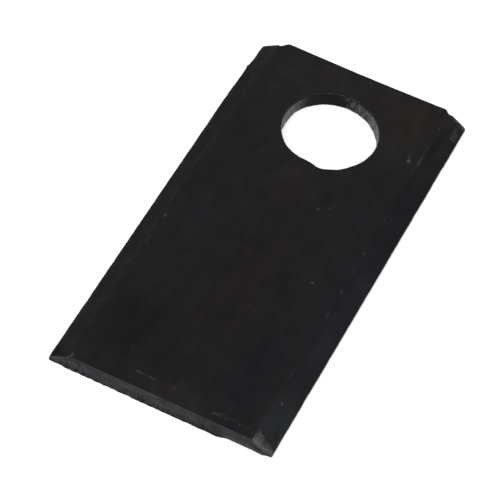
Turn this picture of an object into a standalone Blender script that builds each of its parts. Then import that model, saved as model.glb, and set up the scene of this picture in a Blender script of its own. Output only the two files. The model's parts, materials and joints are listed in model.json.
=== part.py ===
# Rotary mower blade: a knife for a disc or drum mower.
# A length of bevelled flat bar, sheared at both ends, with one punched hole near the far end.
# Metres. X runs across the bar, Y along it towards the hole, and Z up from the flat underside.

import math

import bmesh
import bpy
import numpy as np

# Bar
BLADE_LENGTH = 0.0965
BAR_WIDTH = 0.048
BAR_THICKNESS = 0.0035

# Cutting bevels, one along each side, on the upper face only
BEVEL_WIDTH = 0.0042
EDGE_LAND = 0.0008
ARRIS_RADIUS = 0.0008
EDGE_RADIUS = 0.0002

# Sheared ends: rolled over at the top, cut clean below that, then broken away
END_ROLL_ALONG = 0.0004
END_ROLL_DOWN = 0.0003
END_BREAK_SHARE = 0.45
END_BREAK_BACK = 0.00025

# Near end: the break left a lip at the foot, which stops short of the right-hand cutting edge
LIP_REACH = 0.00025
LIP_STOP = 0.0118
LIP_RUN_OUT = 0.0027

# Far end: slightly hollow, and pulled back over each bevel
FAR_HOLLOW = 0.00025
NIP_WIDTH = 0.0058
NIP_SLOPE_WIDTH = 0.002
LEFT_NIP = 0.0013
RIGHT_NIP = 0.0006

# Near right corner: the bevel's end is crushed to a slanting facet, from its arris down to the edge
CRUSH_REACH = 0.0032
CRUSH_DROP = 0.0006

# Far left corner: the cutting edge runs in towards the end
RUN_IN_LENGTH = 0.009
RUN_IN_DEPTH = 0.0008

# Corners of the outline, seen from above
NEAR_CORNER_RADIUS = 0.0003
FAR_CORNER_RADIUS = 0.0008

# Punched hole, rolled over at the upper rim and broken out wider at the lower one
HOLE_DIAMETER = 0.0205
HOLE_TO_END = 0.018
HOLE_ROLL_OUT = 0.00025
HOLE_ROLL_DOWN = 0.0004
HOLE_BREAK_SHARE = 0.4
HOLE_BREAK_OUT = 0.00015

# Finish
SCALE_COLOUR = (0.017, 0.016, 0.0165, 1.0)
SCALE_ROUGHNESS = 0.45
SCALE_METALLIC = 0.6

# No roll-over goes deeper than this share of the metal that it is on
ROLL_LIMIT_SHARE = 0.4

# Fineness of the facets, and the decimals of the bar's width at which two stations are one
STATIONS_ACROSS = 28
CORNER_STEPS = 5
ROLL_STEPS = 5
HOLE_STEPS = 96
STATION_DECIMALS = 5
SHARP_ANGLE = math.radians(24.0)


def clear_scene():
    for old in list(bpy.data.objects):
        bpy.data.objects.remove(old, do_unlink=True)


def scale_steel():
    material = bpy.data.materials.new("mill_scale_steel")
    material.use_nodes = True
    shader = material.node_tree.nodes["Principled BSDF"]
    shader.inputs["Base Color"].default_value = SCALE_COLOUR
    shader.inputs["Roughness"].default_value = SCALE_ROUGHNESS
    shader.inputs["Metallic"].default_value = SCALE_METALLIC
    material.diffuse_color = SCALE_COLOUR
    return material


def rounded_corner(before, corner, after, radius):
    # Points of the arc that touches both legs of a corner, kept within the shorter leg
    corner = np.array(corner)
    to_before = np.array(before) - corner
    to_after = np.array(after) - corner
    leg = min(np.linalg.norm(to_before), np.linalg.norm(to_after))
    to_before /= np.linalg.norm(to_before)
    to_after /= np.linalg.norm(to_after)
    half = math.acos(float(to_before @ to_after)) / 2
    setback = min(radius / math.tan(half), leg / 2)
    radius = setback * math.tan(half)
    bisector = (to_before + to_after) / np.linalg.norm(to_before + to_after)
    centre = corner + bisector * radius / math.sin(half)
    first = corner + to_before * setback - centre
    last = corner + to_after * setback - centre
    sweep = math.atan2(first[0] * last[1] - first[1] * last[0], float(first @ last))
    start = math.atan2(first[1], first[0])
    angles = [start + sweep * step / CORNER_STEPS for step in range(CORNER_STEPS + 1)]
    return [(centre[0] + radius * math.cos(a), centre[1] + radius * math.sin(a)) for a in angles]


def bar_section():
    # Half of the bar's section, from its middle out to one cutting edge: x, underside, upper face
    half_width = BAR_WIDTH / 2
    middle_top = (0.0, BAR_THICKNESS)
    bevel_top = (half_width - BEVEL_WIDTH, BAR_THICKNESS)
    bevel_foot = (half_width, EDGE_LAND)
    edge_foot = (half_width, 0.0)
    upper = [middle_top]
    upper += rounded_corner(middle_top, bevel_top, bevel_foot, ARRIS_RADIUS)
    upper += rounded_corner(bevel_top, bevel_foot, edge_foot, EDGE_RADIUS)
    lower = [(0.0, 0.0)]
    lower += reversed(rounded_corner(bevel_foot, edge_foot, (0.0, 0.0), EDGE_RADIUS))
    upper = np.array(upper)
    lower = np.array(lower)
    evenly = np.linspace(0.0, half_width, STATIONS_ACROSS // 2 + 1)
    nip_start = half_width - NIP_WIDTH
    nip = np.linspace(nip_start, nip_start + NIP_SLOPE_WIDTH, CORNER_STEPS + 1)
    turn = np.linspace(0.0, math.pi / 2, CORNER_STEPS + 1)
    corner = half_width - FAR_CORNER_RADIUS * (1 - np.sin(turn))
    across = np.concatenate([evenly, nip, corner, upper[:, 0], lower[:, 0]])
    across = np.unique(np.round(across / BAR_WIDTH, STATION_DECIMALS)) * BAR_WIDTH
    return across, np.interp(across, lower[:, 0], lower[:, 1]), np.interp(across, upper[:, 0], upper[:, 1])


def eased(share):
    share = min(max(share, 0.0), 1.0)
    return share * share * (3 - 2 * share)


def corner_set_back(x, radius):
    # How far a corner of the outline, rounded in plan, falls short of the end line
    into = max(0.0, abs(x) - (BAR_WIDTH / 2 - radius))
    return radius - math.sqrt(max(0.0, radius * radius - into * into))


def near_end(x):
    return -BLADE_LENGTH / 2 + LIP_REACH + corner_set_back(x, NEAR_CORNER_RADIUS)


def near_break(x):
    # Set-back of the near end's foot: a lip that stands out, or a break that falls back
    lip_end = BAR_WIDTH / 2 - LIP_STOP
    return -LIP_REACH + (LIP_REACH + END_BREAK_BACK) * eased((x - lip_end) / LIP_RUN_OUT)


def far_end(x):
    inner = BAR_WIDTH / 2 - NIP_WIDTH
    hollow = FAR_HOLLOW * (1 - min(abs(x) / inner, 1.0) ** 2)
    nip = (LEFT_NIP if x < 0 else RIGHT_NIP) * eased((abs(x) - inner) / NIP_SLOPE_WIDTH)
    return BLADE_LENGTH / 2 - hollow - nip - corner_set_back(x, FAR_CORNER_RADIUS)


def sheared_face(underside, top, foot_set_back):
    # Set-back and height up one sheared face: broken zone, cut zone, then the rolled-over upper edge
    height = top - underside
    roll_down = min(END_ROLL_DOWN, ROLL_LIMIT_SHARE * height)
    roll_along = END_ROLL_ALONG * roll_down / END_ROLL_DOWN
    foot = foot_set_back * height / BAR_THICKNESS
    points = [(foot, underside), (0.0, underside + END_BREAK_SHARE * height)]
    for step in range(ROLL_STEPS + 1):
        angle = math.pi / 2 * step / ROLL_STEPS
        set_back = roll_along * (1 - math.cos(angle))
        points.append((set_back, top - roll_down * (1 - math.sin(angle))))
    return points


def blade_blank():
    # The bar with its ends, lofted from cutting edge to cutting edge out of slices across its width
    half_across, half_under, half_top = bar_section()
    across = np.concatenate([-half_across[:0:-1], half_across])
    under = np.concatenate([half_under[:0:-1], half_under])
    top = np.concatenate([half_top[:0:-1], half_top])
    shape = bmesh.new()
    slices = []
    for x, low, high in zip(across, under, top):
        near = sheared_face(low, high, near_break(x))
        far = sheared_face(low, high, END_BREAK_BACK)
        loop = [(x, near_end(x) + set_back, z) for set_back, z in near]
        loop += [(x, far_end(x) - set_back, z) for set_back, z in reversed(far)]
        slices.append([shape.verts.new(point) for point in loop])
    for one, two in zip(slices, slices[1:]):
        for index in range(len(one)):
            following = (index + 1) % len(one)
            shape.faces.new((one[index], one[following], two[following], two[index]))
    shape.faces.new(slices[0])
    shape.faces.new(slices[-1])
    bmesh.ops.recalc_face_normals(shape, faces=shape.faces)
    return shape


def punch():
    # The hole's own form as a turned solid, standing out of both faces of the bar
    radius = HOLE_DIAMETER / 2
    clear = BAR_THICKNESS
    break_radius = radius + HOLE_BREAK_OUT
    roll_down = min(HOLE_ROLL_DOWN, ROLL_LIMIT_SHARE * BAR_THICKNESS)
    outline = [(break_radius, -clear), (break_radius, 0.0), (radius, HOLE_BREAK_SHARE * BAR_THICKNESS)]
    for step in range(ROLL_STEPS + 1):
        angle = math.pi / 2 * step / ROLL_STEPS
        rolled = radius + HOLE_ROLL_OUT * (1 - math.cos(angle))
        outline.append((rolled, BAR_THICKNESS - roll_down * (1 - math.sin(angle))))
    outline.append((radius + HOLE_ROLL_OUT, BAR_THICKNESS + clear))
    shape = bmesh.new()
    rings = []
    for ring_radius, z in outline:
        angles = [2 * math.pi * step / HOLE_STEPS for step in range(HOLE_STEPS)]
        points = [(ring_radius * math.cos(a), ring_radius * math.sin(a), z) for a in angles]
        rings.append([shape.verts.new(point) for point in points])
    for one, two in zip(rings, rings[1:]):
        for index in range(HOLE_STEPS):
            following = (index + 1) % HOLE_STEPS
            shape.faces.new((one[index], one[following], two[following], two[index]))
    shape.faces.new(rings[0])
    shape.faces.new(rings[-1])
    bmesh.ops.recalc_face_normals(shape, faces=shape.faces)
    return shape


def upright_prism(corners, height):
    # The space above a triangle, as a cutter
    shape = bmesh.new()
    base = [shape.verts.new(corner) for corner in corners]
    lid = [shape.verts.new((x, y, z + height)) for x, y, z in corners]
    shape.faces.new(base)
    shape.faces.new(lid)
    for index in range(len(base)):
        following = (index + 1) % len(base)
        shape.faces.new((base[index], base[following], lid[following], lid[index]))
    bmesh.ops.recalc_face_normals(shape, faces=shape.faces)
    return shape


def crushed_corner():
    # What the crush takes off: all that lies above the plane through three points of its facet
    arris = BAR_WIDTH / 2 - BEVEL_WIDTH
    end = -BLADE_LENGTH / 2 + LIP_REACH
    start = np.array((arris, end + CRUSH_REACH, BAR_THICKNESS))
    lowest = np.array((arris, end, BAR_THICKNESS - CRUSH_DROP))
    tip = np.array((BAR_WIDTH / 2, end, EDGE_LAND))
    down = lowest - start
    return upright_prism((start - down, lowest + down, tip + (tip - start)), BAR_THICKNESS)


def edge_run_in():
    # What is missing along the last stretch of the left cutting edge
    start = np.array((-BAR_WIDTH / 2, BLADE_LENGTH / 2 - RUN_IN_LENGTH, -BAR_THICKNESS))
    run = np.array((RUN_IN_DEPTH, RUN_IN_LENGTH, 0.0))
    before = start - run
    beyond = start + 2 * run
    return upright_prism((before, beyond, (before[0], beyond[1], before[2])), 3 * BAR_THICKNESS)


def as_object(name, shape):
    mesh = bpy.data.meshes.new(name)
    shape.to_mesh(mesh)
    shape.free()
    mesh.shade_smooth()
    mesh.set_sharp_from_angle(angle=SHARP_ANGLE)
    placed = bpy.data.objects.new(name, mesh)
    bpy.context.scene.collection.objects.link(placed)
    return placed


def cut_away(target, name, shape, location=(0.0, 0.0, 0.0)):
    cutter = as_object(name + "_cutter", shape)
    cutter.location = location
    cutter.display_type = "WIRE"
    cutter.hide_render = True
    cut = target.modifiers.new(name, "BOOLEAN")
    cut.operation = "DIFFERENCE"
    cut.solver = "EXACT"
    cut.object = cutter


clear_scene()

blade = as_object("blade", blade_blank())
blade.data.materials.append(scale_steel())
cut_away(blade, "punched_hole", punch(), (0.0, BLADE_LENGTH / 2 - HOLE_TO_END, 0.0))
cut_away(blade, "crushed_corner", crushed_corner())
cut_away(blade, "edge_run_in", edge_run_in())
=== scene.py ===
import json
import math

import bmesh
import bpy
import numpy as np
from mathutils import Matrix, Vector, noise


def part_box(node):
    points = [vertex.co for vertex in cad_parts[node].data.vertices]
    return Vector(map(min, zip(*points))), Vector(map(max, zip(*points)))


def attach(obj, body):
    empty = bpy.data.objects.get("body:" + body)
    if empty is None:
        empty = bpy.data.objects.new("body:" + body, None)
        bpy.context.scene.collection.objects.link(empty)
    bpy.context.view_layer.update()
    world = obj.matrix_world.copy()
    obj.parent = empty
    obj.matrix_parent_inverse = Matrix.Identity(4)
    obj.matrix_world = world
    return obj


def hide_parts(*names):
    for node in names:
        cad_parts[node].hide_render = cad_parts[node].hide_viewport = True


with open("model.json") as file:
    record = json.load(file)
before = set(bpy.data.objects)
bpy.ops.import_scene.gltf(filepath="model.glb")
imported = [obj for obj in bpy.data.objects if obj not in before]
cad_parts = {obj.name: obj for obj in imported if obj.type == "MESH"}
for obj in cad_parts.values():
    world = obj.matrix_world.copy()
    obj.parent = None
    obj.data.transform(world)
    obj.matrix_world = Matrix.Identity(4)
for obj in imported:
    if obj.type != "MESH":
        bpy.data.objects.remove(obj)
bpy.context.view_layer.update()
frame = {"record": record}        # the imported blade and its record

mm = 0.001      # the blade is written in millimetres and scaled once, when its mesh is made

# Form of the bar: width, length and thickness come from the frame, the rest is read off the photograph
bladeLow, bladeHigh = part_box("blade")
pinHole = frame["record"]["physics"]["openings"][0]["box_m"]
bar = {
    "halfWidth": (bladeHigh.x - bladeLow.x) / 2 / mm,
    "halfLength": (bladeHigh.y - bladeLow.y) / 2 / mm,
    "thickness": (bladeHigh.z - bladeLow.z) / mm,
    "bevelWidth": 4.2,
    "edgeLand": 0.8,
    "edgeRound": 0.2,
    "arrisRound": 0.15,     # height over which the top face turns into the bevel
    "skin": 0.03,           # the base form is this much below the CAD's top, to leave room for the relief
    "sideSkin": 0.012,      # and this much inside its sides
}

# Both sheared ends
shear = {
    "rollAlong": 0.45,
    "rollDown": 0.3,
    "breakShare": 0.45,
    "breakBack": 0.25,
    "nearBreak": 0.31,
    "lipReach": 0.25,
    "lipEnd": 12.4,         # x where the torn lip of the near end stops
    "lipRunOut": 2.4,
    "hollow": 0.22,
    "nearCorner": 0.3,
    "nearRightNip": {"start": 21.8, "runIn": 1.6, "depth": 0.45},
    # both far corners are cut back: where that starts, over what width, how deep, and the corner's radius
    "leftNip": {"start": 17.7, "runIn": 1.8, "depth": 1.5, "corner": 0.5},
    "rightNip": {"start": 18.75, "runIn": 0.9, "depth": 0.6, "corner": 0.4},
    "notch": {"x": 19.9, "halfWidth": 0.8, "depth": 0.3},
}

# The punched hole
punch = {
    "x": (pinHole[0][0] + pinHole[1][0]) / 2 / mm,
    "y": (pinHole[0][1] + pinHole[1][1]) / 2 / mm,
    "radius": 10.17,        # scale and burr leave the opening a little tighter than the punched hole
    "rollOut": 0.3,
    "rollDown": 0.4,
    "breakShare": 0.4,      # share of the wall, from its foot, that is torn
    # out of round at the upper rim and at the foot: direction and half width in degrees, outward in mm
    "rimDents": [(-58, 20, 0.28), (-76, 14, 0.36), (-92, 14, -0.20), (-100, 28, -0.30)],
    "footDents": [(178, 24, -0.28), (36, 30, -0.10), (60, 60, -0.05)],
    "dentReach": 1.4,
}

# Fineness of the mesh: intervals, not points
mesh = {
    "flat": 120,            # across the flat top
    "arris": 8,
    "bevel": 12,
    "tip": 5,
    "face": 14,             # up a sheared face
    "roll": 6,
    "square": 84,           # each side of the square patch that holds the hole
    "nearRows": 198,        # top rows from the near end to the square, three to each row underneath
    "farRows": 12,
    "rowRatio": 3,
    "patchRings": 10,
    "wallRings": 14,
}


def eased(share):
    share = np.clip(share, 0.0, 1.0)
    return share * share * (3 - 2 * share)


def sliceStations():
    # x of every slice from one cutting edge to the other, closer together where the section turns
    tipTurn = np.linspace(0.0, math.pi / 2, mesh["tip"] + 1)
    tip = bar["edgeRound"] * (1 - np.cos(tipTurn))
    arrisReach = 0.45
    bevel = np.linspace(bar["edgeRound"], bar["bevelWidth"] - arrisReach, mesh["bevel"] + 1)
    arris = np.linspace(bar["bevelWidth"] - arrisReach, bar["bevelWidth"] + arrisReach, mesh["arris"] + 1)
    fromEdge = np.concatenate([tip, bevel[1:], arris[1:]])
    half = bar["halfWidth"] - bar["sideSkin"]
    flat = np.linspace(-(half - fromEdge[-1]), half - fromEdge[-1], mesh["flat"] + 1)
    return np.concatenate([-half + fromEdge, flat[1:-1], (half - fromEdge)[::-1]])


def sectionHeights(x):
    # underside and upper surface of the bar at x
    inward = bar["halfWidth"] - bar["sideSkin"] - np.abs(x)
    slope = (bar["thickness"] - bar["edgeLand"]) / bar["bevelWidth"]
    radius = bar["edgeRound"]
    rounding = np.sqrt(np.maximum(0.0, radius ** 2 - (radius - np.clip(inward, 0, radius)) ** 2))
    bevel = bar["edgeLand"] + slope * inward
    flat = bar["thickness"] - bar["skin"]
    blend = np.maximum(bar["arrisRound"] - np.abs(flat - bevel), 0.0)
    upper = np.minimum(flat, bevel) - blend ** 2 / (4 * bar["arrisRound"])
    upper = np.minimum(upper, bar["edgeLand"] - radius + rounding + slope * inward)
    return radius - rounding, upper


def cornerSetBack(x, radius):
    into = max(0.0, abs(x) - (bar["halfWidth"] - bar["sideSkin"] - radius))
    return radius - math.sqrt(max(0.0, radius ** 2 - into ** 2))


def nearEnd(x):
    nip = shear["nearRightNip"]
    back = nip["depth"] * eased((x - nip["start"]) / nip["runIn"])
    back += shear["lipReach"] + cornerSetBack(x, shear["nearCorner"])
    return -bar["halfLength"] + bar["sideSkin"] + back


def farEnd(x):
    nip = shear["leftNip"] if x < 0 else shear["rightNip"]
    notch = shear["notch"]
    hollow = shear["hollow"] * (1 - min(abs(x) / nip["start"], 1.0) ** 2)
    back = nip["depth"] * eased((abs(x) - nip["start"]) / nip["runIn"])
    back += notch["depth"] * eased(1 - abs(x - notch["x"]) / notch["halfWidth"])
    return bar["halfLength"] - bar["sideSkin"] - hollow - back - cornerSetBack(x, nip["corner"])


def nearFoot(x):
    stop = eased((x - shear["lipEnd"]) / shear["lipRunOut"])
    return -shear["lipReach"] + (shear["lipReach"] + shear["nearBreak"]) * stop


def shearedFace(low, high, footSetBack):
    # set-back and height up a sheared face: broken foot, cut band, rolled-over top
    height = high - low
    rollDown = min(shear["rollDown"], 0.4 * height)
    rollAlong = shear["rollAlong"] * rollDown / shear["rollDown"]
    foot = footSetBack * height / bar["thickness"]
    points = []
    for share in np.linspace(0.0, 1.0, mesh["face"] + 1):
        fallen = max(0.0, 1 - share / shear["breakShare"])
        points.append((foot * fallen, low + (height - rollDown) * share))
    for turn in np.linspace(0.0, math.pi / 2, mesh["roll"] + 1)[1:]:
        points.append((rollAlong * (1 - math.cos(turn)), high - rollDown * (1 - math.sin(turn))))
    return np.array(points)


def rowsBetween(start, squareStart, squareEnd, end, nearRows, farRows):
    first = np.linspace(start, squareStart, nearRows + 1)
    middle = np.linspace(squareStart, squareEnd, mesh["square"] + 1)
    last = np.linspace(squareEnd, end, farRows + 1)
    return np.concatenate([first, middle[1:], last[1:]])


def holeWall():
    # radius and height down the hole, from the rim of the roll-over to the underside
    thickness = bar["thickness"] - bar["skin"]
    steps = []
    for turn in np.linspace(math.pi / 2, 0.0, mesh["roll"] + 1):
        radius = punch["radius"] + punch["rollOut"] * (1 - math.cos(turn))
        steps.append((radius, thickness - punch["rollDown"] * (1 - math.sin(turn))))
    for height in np.linspace(thickness - punch["rollDown"], 0.0, mesh["wallRings"] + 1)[1:]:
        steps.append((punch["radius"], height))
    return steps


def bladeForm():
    # The blade as slices across its width, each a closed loop round the length,
    # with a square of the top and of the underside left out and joined through the hole
    xs = sliceStations()
    lows, highs = sectionHeights(xs)
    middleSlice = len(xs) // 2
    reach = mesh["square"] // 2
    squareHalf = float(xs[middleSlice + reach])
    squareStart, squareEnd = punch["y"] - squareHalf, punch["y"] + squareHalf
    ratio = mesh["rowRatio"]
    topRows = mesh["nearRows"] + mesh["square"] + mesh["farRows"]
    underNear, underFar = mesh["nearRows"] // ratio, mesh["farRows"] // ratio
    underRows = underNear + mesh["square"] + underFar

    points = []
    for x, low, high in zip(xs, lows, highs):
        near = shearedFace(low, high, nearFoot(x))
        far = shearedFace(low, high, shear["breakBack"])
        nearY = nearEnd(x) + near[:, 0]
        farY = farEnd(x) - far[:, 0]
        top = rowsBetween(nearY[-1], squareStart, squareEnd, farY[-1], mesh["nearRows"], mesh["farRows"])
        under = rowsBetween(nearY[0], squareStart, squareEnd, farY[0], underNear, underFar)
        loopY = np.concatenate([nearY, top[1:-1], farY[::-1], under[::-1][1:-1]])
        topZ = np.full(topRows - 1, high)
        underZ = np.full(underRows - 1, low)
        loopZ = np.concatenate([near[:, 1], topZ, far[::-1, 1], underZ])
        points.append(np.stack([np.full(len(loopY), x), loopY, loopZ], 1))
    loopLength = len(points[0])
    facePoints = mesh["face"] + mesh["roll"] + 1
    firstTop = facePoints - 1
    firstUnder = firstTop + topRows + facePoints - 1

    def topPoint(sliceNumber, row):
        return sliceNumber * loopLength + firstTop + row

    def underPoint(sliceNumber, row):      # row counts from the near end, as on top
        return sliceNumber * loopLength + (firstUnder + underRows - row) % loopLength

    faces, finishes = [], []
    insideSlices = range(middleSlice - reach, middleSlice + reach)
    topInside = range(mesh["nearRows"], mesh["nearRows"] + mesh["square"])
    underInside = range(underNear, underNear + mesh["square"])
    for s in range(len(xs) - 1):
        cut = s in insideSlices
        for k in range(loopLength):
            row = k - firstTop
            underRow = firstUnder + underRows - k - 1
            if cut and (row in topInside or underRow in underInside):
                continue
            following = (k + 1) % loopLength
            a, b = s * loopLength, (s + 1) * loopLength
            faces.append((a + k, a + following, b + following, b + k))
            nearFace = k < firstTop - 1
            farFace = firstTop + topRows < k < firstUnder
            finishes.append("shearedEnd" if nearFace or farFace else "millScale")

    # the two cutting edges: thin flats closed between the rows above and below
    for s in (0, len(xs) - 1):
        base = s * loopLength
        faces.append(tuple(base + k for k in range(firstTop + 1)))
        farCorner = firstTop + topRows
        faces.append(tuple(base + k for k in range(farCorner, firstUnder + 1)))
        for row in range(underRows):
            if row < underNear:
                above = range(row * ratio, (row + 1) * ratio + 1)
            elif row < underNear + mesh["square"]:
                start = mesh["nearRows"] + row - underNear
                above = range(start, start + 2)
            else:
                start = mesh["nearRows"] + mesh["square"] + (row - underNear - mesh["square"]) * ratio
                above = range(start, start + ratio + 1)
            strip = [topPoint(s, r) for r in above]
            faces.append(tuple([underPoint(s, row)] + strip + [underPoint(s, row + 1)]))
    finishes += ["millScale"] * (len(faces) - len(finishes))

    # the hole, ring by ring from the square on top to the square underneath
    first, last = middleSlice - reach, middleSlice + reach
    walk = [(s, 0) for s in range(first, last)] + [(last, r) for r in range(mesh["square"])]
    walk += [(s, mesh["square"]) for s in range(last, first, -1)]
    walk += [(first, r) for r in range(mesh["square"], 0, -1)]
    around = len(walk)
    angles = -3 * math.pi / 4 + 2 * math.pi * np.arange(around) / around
    circle = np.stack([np.cos(angles), np.sin(angles)], 1)
    centre = np.array([punch["x"], punch["y"]])
    allPoints = [np.concatenate(points)]
    count = len(allPoints[0])
    squareTop = [topPoint(s, mesh["nearRows"] + r) for s, r in walk]
    squareUnder = [underPoint(s, underNear + r) for s, r in walk]
    outline = allPoints[0][squareTop][:, :2]
    wall = holeWall()
    patch = np.linspace(0.0, 1.0, mesh["patchRings"] + 1)[1:-1] ** 0.8
    rings = []
    for share in patch:
        flat = outline * (1 - share) + (centre + circle * wall[0][0]) * share
        rings.append(np.column_stack([flat, np.full(around, bar["thickness"] - bar["skin"])]))
    for radius, z in wall:
        rings.append(np.column_stack([centre + circle * radius, np.full(around, z)]))
    for share in patch[::-1]:
        flat = outline * (1 - share) + (centre + circle * wall[-1][0]) * share
        rings.append(np.column_stack([flat, np.zeros(around)]))
    loops = [squareTop]
    for ring in rings:
        allPoints.append(ring)
        loops.append(list(range(count, count + around)))
        count += around
    loops.append(squareUnder)
    wallStart = len(patch) + mesh["roll"]
    wallEnd = len(patch) + len(wall)
    for number, (one, two) in enumerate(zip(loops, loops[1:])):
        for k in range(around):
            following = (k + 1) % around
            faces.append((one[k], one[following], two[following], two[k]))
        finish = "punchedWall" if wallStart <= number < wallEnd else "millScale"
        finishes += [finish] * around
    return np.concatenate(allPoints), faces, finishes


# Marks that the photograph shows, in millimetres from the middle of the blade
marks = {
    "seed": 11,
    # chips where the scale has flaked off:
    # x, y, half width, half length, turn in degrees, depth, brightness
    "chips": [
        (17.68, 30.87, 0.50, 0.62, 12, 0.14, 0.56),
        (17.33, 31.96, 0.30, 0.80, 20, 0.05, 0.34),
        (6.67, 9.75, 0.40, 0.38, 0, 0.08, 0.42),
        (8.76, 10.94, 0.34, 0.32, 0, 0.05, 0.32),
        (13.64, -7.99, 0.40, 0.38, 0, 0.08, 0.42),
        (20.91, -36.97, 0.40, 0.50, 20, 0.08, 0.40),
        (-19.53, -6.99, 0.36, 0.50, 0, 0.08, 0.36),
        (19.72, 42.32, 0.34, 0.50, 0, 0.08, 0.36),
        (16.03, -45.79, 0.30, 0.26, 0, 0.03, 0.42),
        (-9.97, -39.66, 0.35, 0.25, 0, 0.02, 0.24),
    ],
    # scratches: from x, y to x, y, half width, depth, brightness
    "scratches": [
        (-6.85, -44.2, -6.15, -44.25, 0.24, 0.05, 0.36),
        (-6.3, -44.15, -5.65, -44.35, 0.26, 0.06, 0.44),
        (-5.75, -44.3, -4.1, -44.27, 0.24, 0.04, 0.30),
        (-4.25, -44.27, -2.5, -44.38, 0.32, 0.05, 0.35),
        (-2.5, -44.37, -1.3, -44.2, 0.24, 0.03, 0.24),
        (-19.43, -46.74, -19.38, -47.44, 0.26, 0.05, 0.46),
        (-17.54, -45.54, -16.54, -45.74, 0.26, 0.02, 0.22),
        # along the start of the roll-down at the near end
        (10.5, -46.1, 11.1, -45.75, 0.40, 0.02, 0.31),
        (11.2, -45.55, 12.1, -45.25, 0.28, 0.01, 0.25),
        (11.6, -45.95, 12.2, -45.85, 0.30, 0.01, 0.27),
        (12.5, -45.45, 13.1, -45.75, 0.30, 0.01, 0.26),
        (13.2, -45.5, 14.8, -45.5, 0.24, 0.01, 0.23),
        (16.8, -45.85, 18.1, -45.65, 0.26, 0.01, 0.22),
    ],
    # stretches of the two arrises that are rubbed bright: side, from y, to y, strength
    "rubbedArris": [
        (1, 29.6, 34.6, 0.38), (1, 13.0, 15.0, 0.26), (1, 2.5, 5.0, 0.25), (1, -8.0, -6.0, 0.30),
        (1, -15.5, -12.0, 0.26), (1, -34.0, -26.0, 0.20), (-1, -16.5, -12.0, 0.28), (-1, 3.0, 5.5, 0.22),
        (-1, -9.0, -5.5, 0.26),
    ],
    # bevel crushed down at the near right corner, and a smaller one on the left
    "crush": {"reach": 3.2, "drop": 0.62, "leftReach": 1.2, "leftDrop": 0.8, "fade": 0.35},
    # far left corner: the cutting edge runs in from here, and a burr stands out below it
    "edgeTaper": {"from": 39.0, "to": 46.6, "depth": 0.72},
    "burr": {"y": 39.85, "halfLength": 0.45, "set": 0.34, "from": 30, "runIn": 8, "to": 42, "runOut": 3},
    # stretch of the right cutting edge that is speckled bright: x, y, half width, half length
    "speckledEdge": (22.9, 43.9, 1.1, 3.6),
}


def noiseAt(points, scale, seed):
    # smooth noise of about -1 to 1 at each point; scale is in features per millimetre on each axis
    offset = Vector((17.3, 5.1, 2.7)) * (seed + marks["seed"])
    return np.array([noise.noise(Vector(p) + offset) for p in points * np.array(scale)]) * 1.6


def ovalField(points, x, y, halfWidth, halfLength, turn):
    # 1 at the centre of a turned oval, 0 at its rim, below 0 outside
    c, s = math.cos(math.radians(turn)), math.sin(math.radians(turn))
    dx, dy = points[:, 0] - x, points[:, 1] - y
    return 1 - np.hypot((c * dx + s * dy) / halfWidth, (-s * dx + c * dy) / halfLength)


def lineField(points, x0, y0, x1, y1, halfWidth):
    # the same round the line between two points
    run = np.array([x1 - x0, y1 - y0])
    away = points[:, :2] - np.array([x0, y0])
    share = np.clip(away @ run / (run @ run), 0, 1)
    return 1 - np.hypot(*(away - np.outer(share, run)).T) / halfWidth


def regions(points):
    # how much each point belongs to the top, the underside, an end, a cutting edge or the hole
    x, y, z = points.T
    upper = sectionHeights(x)[1]
    ends = np.array([[nearEnd(v), farEnd(v)] for v in x])
    radius = np.hypot(x - punch["x"], y - punch["y"])
    return {
        "top": eased((z - upper + 0.6) / 0.5),
        "under": 1 - eased(z / 0.3),
        "near": 1 - eased((y - ends[:, 0]) / 0.5),
        "far": 1 - eased((ends[:, 1] - y) / 0.5),
        "edge": eased((np.abs(x) - bar["halfWidth"] + 0.8) / 0.6),
        "wall": 1 - eased((radius - punch["radius"] - 0.1) / 0.25),
        "bevel": eased((np.abs(x) - bar["halfWidth"] + bar["bevelWidth"]) / 0.3),
        "fromNear": y - ends[:, 0],
        "fromFar": ends[:, 1] - y,
        "radius": radius,
    }


def crushShare(x, fromNear):
    # 0 to 1 over the bevel's end at the near right corner, where it is pushed down
    arris = bar["halfWidth"] - bar["bevelWidth"]
    across = np.clip((x - arris) / bar["bevelWidth"], 0, 1)
    reach = marks["crush"]["reach"] * (1 - 0.8 * across)
    into = np.clip(1 - fromNear / reach, 0, 1)
    return into * eased((x - arris + 0.1) / marks["crush"]["fade"]), across


def dented(angle, dents):
    total = np.zeros(len(angle))
    for direction, halfWidth, outward in dents:
        away = np.abs((np.degrees(angle) - direction + 180) % 360 - 180)
        total += outward * eased(1 - away / halfWidth)
    return total


# Unevenness of the surfaces, as depths in millimetres
wear = {
    "waves": 0.012,             # long waves of the rolled scale
    "ripple": 0.007,
    "pits": 0.05,
    "pitLimit": 0.62,           # the higher, the fewer pits
    "grinding": 0.010,          # lines along the bevels
    "rollDown": 0.03,           # how far the top rolls down at the near end
    "rollDownRight": 0.13,      # how much more to the right of rollStart
    "rollStart": 6,
    "rollRunIn": 5,
    "rollLength": 2.4,
    "underside": 0.010,
    "underLeast": 0.002,        # the underside stays this far above the CAD's
    "score": 0.03,              # up and down the sheared ends
    "broadScore": 0.05,
    "torn": 0.08,
    "footBite": 0.07,
    "nicks": 0.03,              # along the cutting edges
    "deepNicks": 0.05,
    "wallScore": 0.035,         # up and down the punched wall
    "wallTorn": 0.07,
}


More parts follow.
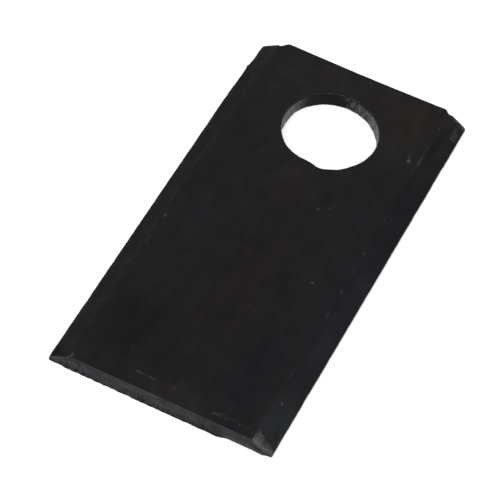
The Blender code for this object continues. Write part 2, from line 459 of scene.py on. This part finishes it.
def relief(points, where):
    # moves the base form inward by the wear, the scale's unevenness and the torn metal of the cuts
    x, y, z = points.T
    moved = points.copy()

    # scale on the top and the bevels
    waves = wear["waves"] * noiseAt(points, (0.12, 0.04, 0), 1)
    waves += wear["ripple"] * noiseAt(points, (0.9, 0.3, 0.9), 2)
    pits = wear["pits"] * np.maximum(noiseAt(points, (1.5, 1.2, 1.5), 3) - wear["pitLimit"], 0)
    grinding = wear["grinding"] * noiseAt(points, (2.4, 0.07, 0), 4) * where["bevel"]
    down = -waves + pits - grinding
    for cx, cy, halfWidth, halfLength, turn, depth, bright in marks["chips"]:
        down = down + depth * eased(1.6 * ovalField(points, cx, cy, halfWidth, halfLength, turn))
    for x0, y0, x1, y1, halfWidth, depth, bright in marks["scratches"]:
        down = down + depth * eased(1.4 * lineField(points, x0, y0, x1, y1, halfWidth))

    # the top rolls down towards the near end, more on the right, where its start is rubbed
    onRight = eased((x - wear["rollStart"]) / wear["rollRunIn"]) * (1 - where["bevel"])
    rollDown = wear["rollDown"] + wear["rollDownRight"] * onRight
    down = down + rollDown * np.clip(1 - where["fromNear"] / wear["rollLength"], 0, 1) ** 1.5

    # crushed bevel ends
    crush = marks["crush"]
    share, across = crushShare(x, where["fromNear"])
    room = 1 - 0.75 * across
    down = down + crush["drop"] * room * share ** 1.15
    outOnLeft = -x - bar["halfWidth"] + bar["bevelWidth"]      # 0 at the left arris
    leftAcross = np.clip(outOnLeft / bar["bevelWidth"], 0, 1)
    leftShare = np.clip(1 - where["fromNear"] / crush["leftReach"], 0, 1)
    leftShare = leftShare * eased(outOnLeft / crush["fade"])
    down = down + crush["leftDrop"] * (1 - 0.7 * leftAcross) * leftShare ** 1.3
    moved[:, 2] -= np.where(where["wall"] > 0.5, 0, down) * where["top"]

    # underside
    under = wear["underside"] + wear["underside"] * noiseAt(points, (0.5, 0.2, 0), 5)
    moved[:, 2] += np.maximum(under, wear["underLeast"]) * where["under"]

    # torn and scored metal of both cut ends
    height = z / bar["thickness"]
    score = wear["score"] * noiseAt(points, (3.2, 0, 0.35), 6)
    score += wear["broadScore"] * noiseAt(points, (0.5, 0, 0.5), 7)
    breaking = np.clip(1.3 - height / shear["breakShare"], 0, 1)
    ragged = noiseAt(points, (1.1, 0, 1.3), 8) + 0.6 * noiseAt(points, (2.6, 0, 2.4), 14)
    torn = breaking * np.maximum(ragged, -0.5)
    footBite = np.clip(1 - height / 0.3, 0, 1) * np.maximum(noiseAt(points, (1.9, 0, 0), 9), 0)
    into = 0.01 + np.maximum(score, -0.05) + wear["torn"] * torn + wear["footBite"] * footBite
    into = np.maximum(into * (1 - where["wall"]) - 0.02, -bar["sideSkin"])
    moved[:, 1] += into * where["near"]
    moved[:, 1] -= into * where["far"]

    # cutting edges: small nicks, the run-in at the far left corner and the burr below it
    nicks = wear["nicks"] * noiseAt(points, (0, 1.1, 0), 10)
    nicks += wear["deepNicks"] * np.maximum(noiseAt(points, (0, 0.35, 0), 11), 0)
    inward = np.maximum(nicks - 0.01, -bar["sideSkin"]) * where["edge"]
    taper = marks["edgeTaper"]
    burr = marks["burr"]
    leftInset = taper["depth"] * eased((y - taper["from"]) / (taper["to"] - taper["from"])) ** 0.8
    standing = np.clip(1 - np.abs(y - burr["y"]) / burr["halfLength"], 0, 1)
    roundBurr = eased((y - burr["from"]) / burr["runIn"]) * (1 - eased((y - burr["to"]) / burr["runOut"]))
    leftInset = leftInset + burr["set"] * roundBurr * (1 - standing)
    shift = leftInset * eased((outOnLeft + 0.2) / bar["bevelWidth"])
    moved[:, 0] -= np.sign(x) * inward
    moved[:, 0] += shift
    moved[:, 2] += (sectionHeights(x + shift)[1] - sectionHeights(x)[1]) * where["top"]

    # hole wall scored up and down, torn at its lower part, and dented out of round
    angle = np.arctan2(y - punch["y"], x - punch["x"])
    aroundHole = np.stack([np.cos(angle), np.sin(angle), z / punch["radius"]], 1) * punch["radius"]
    scoring = wear["wallScore"] * noiseAt(aroundHole, (1.6, 1.6, 0.2), 12)
    lowPart = np.clip(1 - height / punch["breakShare"], 0, 1)
    tearing = wear["wallTorn"] * noiseAt(aroundHole, (0.8, 0.8, 1.2), 13) * lowPart
    outward = (0.01 + scoring + tearing) * where["wall"]
    nearHole = 1 - eased((where["radius"] - punch["radius"] - 0.2) / punch["dentReach"])
    outward += dented(angle, punch["rimDents"]) * nearHole * np.clip(2 * height - 0.8, 0, 1)
    outward += dented(angle, punch["footDents"]) * nearHole * np.clip(1 - 1.4 * height, 0, 1)
    moved[:, 0] += outward * np.cos(angle)
    moved[:, 1] += outward * np.sin(angle)

    low = np.array([-bar["halfWidth"], -bar["halfLength"], 0])
    high = np.array([bar["halfWidth"], bar["halfLength"], bar["thickness"]])
    return np.clip(moved, low, high)


# How bright the bare steel and the painted highlights show, 0 to 1
shine = {
    "arris": 0.05,
    "arrisChange": 0.16,
    "arrisWidth": 0.3,
    "facet": 0.33,              # the crushed corner on the right, worn bright and with a painted highlight
    "facetInner": 0.32,
    "facetFoot": 0.42,
    "facetReach": 3.6,
    "nearLeft": 0.62,           # painted highlights at the ends of the bevels
    "farRight": 0.62,
    "farLeft": 0.34,
    "speckledEdge": 0.13,
    "speckle": 0.20,
    "farCrumbs": 0.42,          # along the far end, between the bevels
    # painted highlight along the rim of the hole
    "hole": 0.26,
    "holeChange": 0.16,
    "endRim": 0.16,             # painted highlight on the rolled-over upper rim of the sheared ends
    "endRimChange": 0.14,
    "endRimCorner": 0.75,
}


def bareSteelAndHighlight(points, where):
    # where the scale is gone: chips, scratches, rubbed arrises and the crushed corner; and painted highlights
    # at the bevel ends, the crushed corner and the hole's rim
    x, y = points[:, 0], points[:, 1]
    bareAndHighlight = np.zeros(len(points))
    for cx, cy, halfWidth, halfLength, turn, depth, bright in marks["chips"]:
        field = ovalField(points, cx, cy, halfWidth * 1.2, halfLength * 1.2, turn)
        bareAndHighlight = np.maximum(bareAndHighlight, bright * np.clip(1.8 * field, 0, 1))
    for x0, y0, x1, y1, halfWidth, depth, bright in marks["scratches"]:
        field = lineField(points, x0, y0, x1, y1, halfWidth * 1.2)
        bareAndHighlight = np.maximum(bareAndHighlight, bright * np.clip(1.8 * field, 0, 1))

    # arrises
    arris = bar["halfWidth"] - bar["bevelWidth"]
    fromArris = np.abs(np.abs(x) - arris + 0.1)
    worn = shine["arris"] + shine["arrisChange"] * noiseAt(points, (0, 0.45, 0), 20)
    for side, y0, y1, strength in marks["rubbedArris"]:
        within = np.clip(1.5 * (1 - np.abs(2 * y - y0 - y1) / (y1 - y0)), 0, 1)
        worn = np.maximum(worn, strength * within * (np.sign(x) == side))
    bareAndHighlight = np.maximum(bareAndHighlight, np.clip(worn, 0, 1) * np.exp(-(fromArris / shine["arrisWidth"]) ** 2))

    # crushed corner on the right: worn bright, with a painted highlight brightest along the foot of the
    # facet, fading up and outward
    across = np.clip((x - arris) / bar["bevelWidth"], 0, 1)
    reach = shine["facetReach"] * (1 - 0.62 * across)
    inFacet = np.clip((reach - where["fromNear"]) / 0.5, 0, 1) * (x > arris - 0.15)
    low = np.clip(1 - where["fromNear"] / reach, 0, 1)
    foot = np.exp(-((where["fromNear"] - 0.45) / 0.32) ** 2)
    streaks = 0.12 * noiseAt(points, (1.5, 0.5, 0), 25) + 0.08 * noiseAt(points, (2.2, 2.2, 0), 27)
    bright = shine["facet"] + shine["facetInner"] * (1 - across) * low + shine["facetFoot"] * foot + streaks
    bareAndHighlight = np.maximum(bareAndHighlight, inFacet * bright)

    # painted highlights and glints at the ends of the bevels
    nearLine = shine["nearLeft"] * np.exp(-(where["fromNear"] / 0.5) ** 2) * (x < -arris)
    speckle = np.clip(0.6 + 0.7 * noiseAt(points, (1.6, 1.6, 0), 28), 0, 1)
    farLine = np.exp(-(where["fromFar"] / 1.3) ** 2) * speckle * (np.abs(x) > arris)
    farLine = farLine * np.where(x > 0, shine["farRight"], shine["farLeft"])
    alongEdge = np.clip(1.8 * ovalField(points, *marks["speckledEdge"], 0), 0, 1)
    farLine = np.maximum(farLine, (shine["speckledEdge"] + shine["speckle"] * speckle) * alongEdge)

    # crumbs along the far end
    speckNoise = np.clip(noiseAt(points, (1.3, 1.6, 0), 29) - 0.25, 0, 1)
    speckNoise = speckNoise * np.exp(-((where["fromFar"] - 1.0) / 0.8) ** 2) * (np.abs(x) < arris)
    farLine = np.maximum(farLine, shine["farCrumbs"] * speckNoise)
    bareAndHighlight = np.maximum(bareAndHighlight, np.maximum(nearLine, farLine))

    # painted highlight along the rim of the hole
    rim = np.exp(-((where["radius"] - punch["radius"] - 0.15) / 0.14) ** 2)
    rim = rim * (shine["hole"] + shine["holeChange"] * noiseAt(points, (0.4, 0.4, 0), 26))
    return np.clip(np.maximum(bareAndHighlight, rim), 0, 1) * where["top"]


def endRimHighlight(points, where):
    # painted highlight on the rolled-over upper rim of both sheared ends
    upper = sectionHeights(points[:, 0])[1]
    depth = upper - points[:, 2]
    rim = np.clip(1.4 - depth / 0.32, 0, 1) * np.maximum(where["near"], where["far"])
    bright = shine["endRim"] + shine["endRimChange"] * noiseAt(points, (0.35, 0, 0), 24)
    corner = np.abs(points[:, 0]) > bar["halfWidth"] - bar["bevelWidth"]
    return rim * np.where(corner, shine["endRimCorner"], np.clip(bright, 0.03, 1))


# Colour of the scale, which shifts in long bands as the bar was rolled, with painted light making the far
# part lighter: x, y, half width, half length, tint
scaleTintsAndLight = [
    (0.0, 40.0, 36.0, 30.0, (1.24, 1.19, 1.06)),      # warm round the hole, and lighter there as painted light
    (15.0, 41.0, 10.0, 12.0, (1.05, 1.08, 1.01)),
    (-1.0, 13.0, 9.0, 8.0, (1.16, 1.12, 1.06)),
    (1.0, -14.0, 12.0, 38.0, (1.00, 0.94, 0.86)),     # brown band down the middle
    (0.0, -38.0, 34.0, 22.0, (0.95, 0.95, 0.95)),
    (-13.0, -35.0, 7.0, 11.0, (0.80, 0.86, 0.80)),    # dark green patch
    (13.0, -33.0, 6.0, 16.0, (0.91, 0.95, 0.97)),
    (3.0, -47.0, 10.0, 6.5, (1.36, 1.32, 1.18)),      # olive at the near end
    (1.2, -44.4, 1.1, 0.6, (1.50, 1.50, 1.12)),
    (14.5, -47.4, 6.0, 1.4, (0.97, 0.97, 1.04)),
    (12.6, -45.7, 3.0, 1.3, (1.22, 1.24, 1.24)),
    (-6.5, -46.0, 3.2, 2.6, (1.20, 1.18, 1.05)),
    (7.2, 10.2, 2.2, 2.2, (1.06, 1.12, 0.80)),
    (-3.8, -4.8, 2.4, 2.0, (0.86, 0.86, 0.88)),
    (7.7, -9.7, 2.4, 2.0, (0.88, 0.86, 0.84)),
    (-10.0, -39.8, 1.4, 1.0, (1.30, 1.15, 1.12)),
    (7.7, -34.9, 2.2, 1.6, (1.14, 1.10, 1.10)),
    (20.7, 26.3, 1.0, 1.4, (1.20, 1.06, 0.85)),
    (22.0, 22.0, 3.2, 14.0, (0.88, 1.00, 1.04)),      # right bevel, from the hole down
    (22.0, -8.0, 3.6, 22.0, (1.10, 1.20, 1.36)),
    (22.0, -24.0, 3.2, 14.0, (1.14, 1.14, 1.22)),
    (22.0, -41.0, 4.2, 12.0, (1.42, 1.66, 1.62)),
    (20.9, 38.0, 1.0, 6.5, (0.78, 0.78, 0.76)),
    (-22.3, 12.0, 3.2, 70.0, (0.80, 0.80, 0.80)),     # left bevel
    (-22.2, 30.0, 2.8, 26.0, (0.85, 0.86, 0.85)),
    (-22.5, 45.0, 4.0, 5.0, (1.12, 1.12, 1.10)),
    (21.5, 45.5, 3.5, 3.5, (1.08, 1.12, 1.08)),
    (0.0, 48.6, 40.0, 1.3, (0.74, 0.74, 0.74)),       # far rim
    (-23.2, -46.4, 1.0, 1.8, (0.60, 0.60, 0.60)),
]


def scaleTintAndLight(points):
    tint = np.ones((len(points), 3))
    for x, y, halfWidth, halfLength, colour in scaleTintsAndLight:
        inside = eased(1.5 * ovalField(points, x, y, halfWidth, halfLength, 0))[:, None]
        tint = tint * (1 + (np.array(colour) - 1) * inside)
    return tint


# Colour of the near sheared end: x, z, half width, half height, tint
endTints = [
    (-16.8, 1.7, 2.2, 1.6, (0.87, 1.00, 1.20)),
    (-17.6, 2.6, 2.2, 1.2, (0.96, 1.04, 1.04)),
    (-10.2, 1.5, 2.2, 1.4, (0.94, 0.98, 1.20)),
    (-12.6, 2.4, 2.2, 1.2, (1.04, 1.00, 1.06)),
    (-1.4, 2.6, 1.6, 0.9, (1.08, 1.00, 0.99)),
    (5.0, 2.2, 1.2, 1.4, (1.08, 0.97, 1.03)),
    (7.2, 1.2, 1.8, 1.3, (0.94, 0.90, 1.24)),
    (10.6, 1.9, 3.8, 2.2, (0.74, 0.74, 0.75)),
    (2.5, 2.6, 4.5, 1.2, (0.84, 0.84, 0.84)),
    (-6.5, 3.2, 4.0, 0.9, (0.86, 0.86, 0.86)),
    (18.0, 1.8, 2.8, 1.3, (0.72, 0.72, 0.72)),
    (15.0, 2.6, 2.0, 1.0, (0.86, 0.86, 0.86)),
    (2.0, 0.9, 1.2, 0.8, (0.80, 0.80, 0.80)),
    (-7.2, 1.2, 0.9, 0.8, (0.78, 0.78, 0.78)),
    (-21.5, 1.6, 2.4, 1.4, (1.10, 1.10, 1.10)),
]


def endTint(points):
    tint = np.ones((len(points), 3))
    upright = points[:, [0, 2]]
    onNearEnd = (points[:, 1] < 0)[:, None]
    for x, z, halfWidth, halfHeight, colour in endTints:
        inside = eased(1.7 * ovalField(upright, x, z, halfWidth, halfHeight, 0))[:, None]
        tint = tint * (1 + (np.array(colour) - 1) * inside * onNearEnd)
    return tint


def meshFrom(name, points, faces, finishes):
    data = bpy.data.meshes.new(name)
    data.from_pydata((points * mm).tolist(), [], faces)
    for number, finish in enumerate(finishes):
        data.polygons[number].material_index = finish
    return data


basePoints, faces, finishes = bladeForm()
used = np.unique(np.concatenate([np.array(face) for face in faces]))
renumber = np.full(len(basePoints), -1)
renumber[used] = np.arange(len(used))
basePoints = basePoints[used]
faces = [tuple(renumber[list(face)].tolist()) for face in faces]
where = regions(basePoints)
bladePoints = relief(basePoints, where)
print("blade form and relief:", len(bladePoints), "points,", len(faces), "faces")


# Materials

millScale = {
    "colour": (0.0127, 0.0119, 0.0133),
    # bare steel, also the colour of the painted highlights
    "steelAndHighlight": (0.132, 0.129, 0.132),
    "roughness": (0.20, 0.30),
    "specular": 0.04,
}
shearedEnd = {
    "dark": (0.006, 0.006, 0.0065),
    "light": (0.0375, 0.0373, 0.0373),
    "pink": (0.037, 0.0325, 0.0345),
    "blue": (0.026, 0.029, 0.037),
    # colour of the painted highlight on the upper rim of the sheared ends
    "rim": (0.095, 0.093, 0.094),
    "roughness": (0.38, 0.60),
    "specular": 0.10,
}
punchedWall = {
    # dark as painted shade, and bright on the sides as a painted reflection of the side lights
    "scale": (0.0040, 0.0042, 0.0042),
    "paintedSideSheen": (0.150, 0.148, 0.146),
    "roughness": (0.40, 0.6),
    "specular": 0.08,
}


class Finish:
    # one material's node tree, with short calls for the nodes that all three finishes use
    def __init__(self, name, specular):
        self.material = bpy.data.materials.new(name)
        self.material.use_nodes = True
        self.tree = self.material.node_tree
        self.shader = self.tree.nodes["Principled BSDF"]
        self.shader.inputs["Specular IOR Level"].default_value = specular
        place = self.add("ShaderNodeTexCoord")
        scaled = self.add("ShaderNodeMapping")
        scaled.inputs["Scale"].default_value = (1 / mm, 1 / mm, 1 / mm)
        self.join(place.outputs["Object"], scaled.inputs["Vector"])
        self.place = scaled.outputs["Vector"]      # position on the blade in millimetres

    def add(self, kind):
        return self.tree.nodes.new(kind)

    def join(self, source, target):
        if isinstance(source, (int, float)):
            target.default_value = source
        elif isinstance(source, tuple):
            target.default_value = (*source, 1.0) if len(source) == 3 else source
        else:
            self.tree.links.new(source, target)

    def noise(self, scale, detail=3.0, roughness=0.55, stretch=(1, 1, 1), shift=0.0):
        mapping = self.add("ShaderNodeMapping")
        mapping.inputs["Scale"].default_value = stretch
        mapping.inputs["Location"].default_value = (shift, 1.7 * shift, 0.6 * shift)
        self.join(self.place, mapping.inputs["Vector"])
        texture = self.add("ShaderNodeTexNoise")
        texture.inputs["Scale"].default_value = scale
        texture.inputs["Detail"].default_value = detail
        texture.inputs["Roughness"].default_value = roughness
        self.join(mapping.outputs["Vector"], texture.inputs["Vector"])
        return texture.outputs["Fac"]

    def sum(self, operation, a, b, clamp=False):
        combine = self.add("ShaderNodeMath")
        combine.operation = operation
        combine.use_clamp = clamp
        self.join(a, combine.inputs[0])
        self.join(b, combine.inputs[1])
        return combine.outputs["Value"]

    def spread(self, value, low, high, toLow=0.0, toHigh=1.0, smooth=False):
        remap = self.add("ShaderNodeMapRange")
        remap.interpolation_type = "SMOOTHSTEP" if smooth else "LINEAR"
        self.join(value, remap.inputs["Value"])
        remap.inputs["From Min"].default_value = low
        remap.inputs["From Max"].default_value = high
        remap.inputs["To Min"].default_value = toLow
        remap.inputs["To Max"].default_value = toHigh
        return remap.outputs["Result"]

    def swing(self, value, toLow, toHigh):      # a noise lies mostly between 0.3 and 0.7
        return self.spread(value, 0.3, 0.7, toLow, toHigh)

    def along(self, axis):      # position on the blade along one axis, in millimetres
        split = self.add("ShaderNodeSeparateXYZ")
        self.join(self.place, split.inputs["Vector"])
        return split.outputs[axis]

    def blend(self, share, a, b, kind="MIX"):
        mix = self.add("ShaderNodeMix")
        mix.data_type = "RGBA"
        mix.blend_type = kind
        self.join(share, mix.inputs["Factor"])
        self.join(a, mix.inputs["A"])
        self.join(b, mix.inputs["B"])
        return mix.outputs["Result"]

    def times(self, colour, factor):
        scaled = self.add("ShaderNodeVectorMath")
        scaled.operation = "SCALE"
        self.join(colour, scaled.inputs[0])
        self.join(factor, scaled.inputs["Scale"])
        return scaled.outputs["Vector"]

    def doubled(self, colour):      # painted tints are stored halved, as stored colours stay below 1
        return self.times(colour, 2.0)

    def painted(self, name):
        attribute = self.add("ShaderNodeAttribute")
        attribute.attribute_name = name
        return attribute

    def bump(self, height, strength, distance):
        bump = self.add("ShaderNodeBump")
        bump.inputs["Strength"].default_value = strength
        bump.inputs["Distance"].default_value = distance
        self.join(height, bump.inputs["Height"])
        self.join(bump.outputs["Normal"], self.shader.inputs["Normal"])

    def set(self, **sockets):
        for name, value in sockets.items():
            self.join(value, self.shader.inputs[name.replace("_", " ")])
        return self.material


def makeMillScale():
    f = Finish("millScale", millScale["specular"])
    streaks = f.noise(0.9, detail=4, roughness=0.6, stretch=(1.0, 0.05, 1.0), shift=3)
    mottle = f.noise(0.28, detail=6, roughness=0.6, stretch=(1.0, 0.7, 1.0), shift=8)
    grain = f.noise(3.2, detail=3, roughness=0.6, shift=15)
    tone = f.sum("ADD", f.swing(streaks, -0.07, 0.07), f.swing(mottle, -0.14, 0.14))
    tone = f.sum("ADD", tone, f.swing(grain, 0.90, 1.10))
    tint = f.painted("scaleTintAndLight").outputs["Color"]
    shade = f.times(f.doubled(f.blend(1.0, millScale["colour"], tint, "MULTIPLY")), tone)

    # bare steel and painted highlights: where they are painted, broken up at their rim, and in a few small
    # flakes
    broken = f.noise(2.2, detail=4, roughness=0.65, shift=22)
    flakes = f.noise(0.85, detail=2, roughness=0.5, stretch=(1, 0.8, 1), shift=40)
    bareAndHighlight = f.sum("ADD", f.painted("bareSteelAndHighlight").outputs["Fac"], f.swing(broken, -0.15, 0.15))
    bareAndHighlight = f.sum("MAXIMUM", f.spread(bareAndHighlight, 0.16, 1.0), f.spread(flakes, 0.765, 0.80, 0.0, 0.12, smooth=True))
    colour = f.blend(bareAndHighlight, shade, millScale["steelAndHighlight"])
    rough = f.swing(mottle, *millScale["roughness"])
    height = f.sum("ADD", f.sum("MULTIPLY", streaks, 0.5), f.sum("MULTIPLY", grain, 0.5))
    f.bump(height, strength=0.25, distance=0.02 * mm)
    return f.set(Base_Color=colour, Roughness=rough, Metallic=f.sum("MULTIPLY", bareAndHighlight, 0.35))


def makeShearedEnd():
    f = Finish("shearedEnd", shearedEnd["specular"])
    score = f.noise(1.8, detail=4, roughness=0.6, stretch=(1.0, 1.0, 0.3), shift=4)
    patches = f.noise(0.30, detail=3, roughness=0.55, stretch=(1.0, 1.0, 1.6), shift=9)
    pits = f.noise(1.5, detail=5, roughness=0.7, shift=16)
    tone = f.sum("ADD", f.sum("MULTIPLY", score, 0.45), f.sum("MULTIPLY", patches, 0.55))
    colour = f.blend(f.spread(tone, 0.38, 0.58), shearedEnd["dark"], shearedEnd["light"])

    # heat tints
    pinkish = f.noise(0.25, detail=2, roughness=0.5, shift=52)
    colour = f.blend(f.spread(pinkish, 0.50, 0.60, 0.0, 0.5, smooth=True), colour, shearedEnd["pink"])
    bluish = f.noise(0.21, detail=2, roughness=0.5, shift=31)
    colour = f.blend(f.spread(bluish, 0.53, 0.66, 0.0, 0.4, smooth=True), colour, shearedEnd["blue"])
    tint = f.painted("endTint").outputs["Color"]
    colour = f.doubled(f.blend(1.0, colour, tint, "MULTIPLY"))

    # painted shade darkening the foot, and painted highlight on the upper rim
    speckNoise = f.noise(1.1, detail=4, roughness=0.7, shift=61)
    foot = f.sum("SUBTRACT", f.spread(speckNoise, 0.40, 0.66, 0.0, 1.6), f.along("Z"))
    colour = f.blend(f.spread(foot, 0.0, 0.4, 0.0, 0.95, smooth=True), colour, shearedEnd["dark"])
    colour = f.blend(f.painted("endRimHighlight").outputs["Fac"], colour, shearedEnd["rim"])
    f.bump(f.sum("ADD", score, f.sum("MULTIPLY", pits, 0.7)), strength=0.5, distance=0.08 * mm)
    return f.set(Base_Color=colour, Roughness=f.swing(pits, *shearedEnd["roughness"]), Metallic=0.25)


def makePunchedWall():
    f = Finish("punchedWall", punchedWall["specular"])
    across = f.sum("DIVIDE", f.sum("SUBTRACT", f.along("X"), punch["x"]), punch["radius"])
    patches = f.noise(1.1, detail=5, roughness=0.7, stretch=(1.0, 1.0, 0.6), shift=5)
    score = f.noise(3.0, detail=3, roughness=0.6, stretch=(1.0, 1.0, 0.15), shift=12)

    # painted reflection of the side lights, bright on the right and at the far left, with painted shade
    # between
    wander = f.sum("ADD", across, f.swing(patches, -0.10, 0.10))
    onRight = f.spread(wander, -0.12, 0.04, smooth=True)
    sheenRight = f.sum("MULTIPLY", onRight, f.spread(across, 0.0, 0.8, 0.34, 1.1))
    sheenLeft = f.spread(wander, -0.80, -1.0, 0.0, 1.3)
    paintedSideSheen = f.sum("MAXIMUM", sheenRight, sheenLeft)
    broken = f.spread(patches, 0.40, 0.62, 0.25, 1.25, smooth=True)
    broken = f.sum("MULTIPLY", broken, f.swing(score, 0.75, 1.2))
    paintedSideSheen = f.sum("MULTIPLY", paintedSideSheen, broken, clamp=True)
    colour = f.blend(paintedSideSheen, punchedWall["scale"], punchedWall["paintedSideSheen"])
    f.bump(f.sum("ADD", score, patches), strength=0.4, distance=0.05 * mm)
    return f.set(Base_Color=colour, Roughness=f.swing(patches, *punchedWall["roughness"]), Metallic=0.2)


finishMakers = {"millScale": makeMillScale, "shearedEnd": makeShearedEnd, "punchedWall": makePunchedWall}

finishNumbers = [list(finishMakers).index(name) for name in finishes]
bladeData = meshFrom("mowerBlade", bladePoints, faces, finishNumbers)
for make in finishMakers.values():
    bladeData.materials.append(make())
shape = bmesh.new()
shape.from_mesh(bladeData)
bmesh.ops.recalc_face_normals(shape, faces=shape.faces)
shape.to_mesh(bladeData)
shape.free()
for name, share in (("bareSteelAndHighlight", bareSteelAndHighlight(basePoints, where)), ("endRimHighlight", endRimHighlight(basePoints, where))):
    shareLayer = bladeData.attributes.new(name, "FLOAT", "POINT")
    shareLayer.data.foreach_set("value", share)
for name, tint in (("scaleTintAndLight", scaleTintAndLight(basePoints)), ("endTint", endTint(basePoints))):
    tintLayer = bladeData.attributes.new(name, "FLOAT_COLOR", "POINT")
    tintLayer.data.foreach_set("color", np.column_stack([tint / 2, np.ones(len(tint))]).ravel())
bladeData.shade_smooth()
bladeData.set_sharp_from_angle(angle=math.radians(38))
mowerBlade = bpy.data.objects.new("mowerBlade", bladeData)
bpy.context.scene.collection.objects.link(mowerBlade)
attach(mowerBlade, "root")
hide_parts("blade")
print("blade finished:", sum(len(p.vertices) - 2 for p in bladeData.polygons), "triangles")


# Floor, light and camera

studio = {
    "floorColour": (0.90, 0.90, 0.90),
    "floorGlow": 0.35,
    "floorHalf": 3.0,
    "skyLow": 0.22,         # brightness of the surroundings at the horizon and overhead
    "skyHigh": 0.80,
    # softboxes: direction they shine from, width and height in metres, watts
    "softboxes": [
        ("overheadBox", (-0.10, -0.35, 0.93), 0.5, 0.5, 2.1),
        ("leftBox", (-0.70, -0.60, 0.40), 0.35, 0.35, 0.2),
        ("rightBox", (0.80, -0.45, 0.45), 0.35, 0.35, 0.6),
    ],
    "softboxDistance": 0.7,
}


def makeFloor():
    half = studio["floorHalf"]
    data = bpy.data.meshes.new("floor")
    corners = [(x * half, y * half, bladeLow.z) for x, y in ((-1, -1), (1, -1), (1, 1), (-1, 1))]
    data.from_pydata(corners, [], [(0, 1, 2, 3)])
    material = bpy.data.materials.new("paleFloor")
    material.use_nodes = True
    tree = material.node_tree
    shader = tree.nodes["Principled BSDF"]
    shader.inputs["Base Color"].default_value = (*studio["floorColour"], 1)
    shader.inputs["Roughness"].default_value = 0.9
    shader.inputs["Specular IOR Level"].default_value = 0.1
    shader.inputs["Emission Color"].default_value = (1, 1, 1, 1)
    rays = tree.nodes.new("ShaderNodeLightPath")
    seen = rays.outputs["Is Camera Ray"]
    for ray in ("Is Glossy Ray", "Is Transmission Ray"):
        either = tree.nodes.new("ShaderNodeMath")
        either.operation = "MAXIMUM"
        tree.links.new(seen, either.inputs[0])
        tree.links.new(rays.outputs[ray], either.inputs[1])
        seen = either.outputs["Value"]
    glow = tree.nodes.new("ShaderNodeMath")
    glow.operation = "MULTIPLY"
    glow.inputs[1].default_value = studio["floorGlow"]
    tree.links.new(seen, glow.inputs[0])
    tree.links.new(glow.outputs["Value"], shader.inputs["Emission Strength"])
    data.materials.append(material)
    floor = bpy.data.objects.new("floor", data)
    bpy.context.scene.collection.objects.link(floor)


def makeLight():
    world = bpy.data.worlds.new("studio")
    bpy.context.scene.world = world
    world.use_nodes = True
    tree = world.node_tree
    sky = tree.nodes["Background"]
    sky.inputs["Color"].default_value = (1, 1, 1, 1)
    direction = tree.nodes.new("ShaderNodeTexCoord")
    split = tree.nodes.new("ShaderNodeSeparateXYZ")
    tree.links.new(direction.outputs["Generated"], split.inputs["Vector"])
    rise = tree.nodes.new("ShaderNodeMapRange")
    rise.inputs["To Min"].default_value = studio["skyLow"]
    rise.inputs["To Max"].default_value = studio["skyHigh"]
    tree.links.new(split.outputs["Z"], rise.inputs["Value"])
    tree.links.new(rise.outputs["Result"], sky.inputs["Strength"])
    for name, direction, width, height, watts in studio["softboxes"]:
        lamp = bpy.data.lights.new(name, "AREA")
        lamp.shape = "RECTANGLE"
        lamp.size, lamp.size_y = width, height
        lamp.energy = watts
        box = bpy.data.objects.new(name, lamp)
        toBox = Vector(direction).normalized()
        box.location = toBox * studio["softboxDistance"]
        box.rotation_euler = toBox.to_track_quat("Z", "Y").to_euler()
        bpy.context.scene.collection.objects.link(box)


# Photographed from the near end, a little to the right of the blade, looking down at it
view = {
    "azimuth": 19.5115,
    "elevation": 51.3047,
    "roll": -8.1447,
    "target": (-1.65, -4.10, 0.0),      # millimetres
    "distance": 537.3,                  # millimetres
    "lens": 191.75,
    "sensor": 36.0,
}


def makeCamera():
    azimuth, elevation = math.radians(view["azimuth"]), math.radians(view["elevation"])
    level = math.cos(elevation)
    back = Vector((math.sin(azimuth) * level, -math.cos(azimuth) * level, math.sin(elevation)))
    right = Vector((0, 0, 1)).cross(back).normalized()
    up = back.cross(right)
    turn = math.radians(view["roll"])
    rolledRight = right * math.cos(turn) - up * math.sin(turn)
    rolledUp = right * math.sin(turn) + up * math.cos(turn)
    lens = bpy.data.cameras.new("photographView")
    lens.lens = view["lens"]
    lens.sensor_width = view["sensor"]
    lens.clip_start = 0.01
    camera = bpy.data.objects.new("photographView", lens)
    place = (Vector(view["target"]) + back * view["distance"]) * mm
    camera.matrix_world = Matrix((
        (rolledRight.x, rolledUp.x, back.x, place.x),
        (rolledRight.y, rolledUp.y, back.y, place.y),
        (rolledRight.z, rolledUp.z, back.z, place.z),
        (0, 0, 0, 1),
    ))
    bpy.context.scene.collection.objects.link(camera)
    bpy.context.scene.camera = camera


makeFloor()
makeLight()
makeCamera()
bpy.context.scene.view_settings.view_transform = "Standard"
print("floor, light and camera placed")
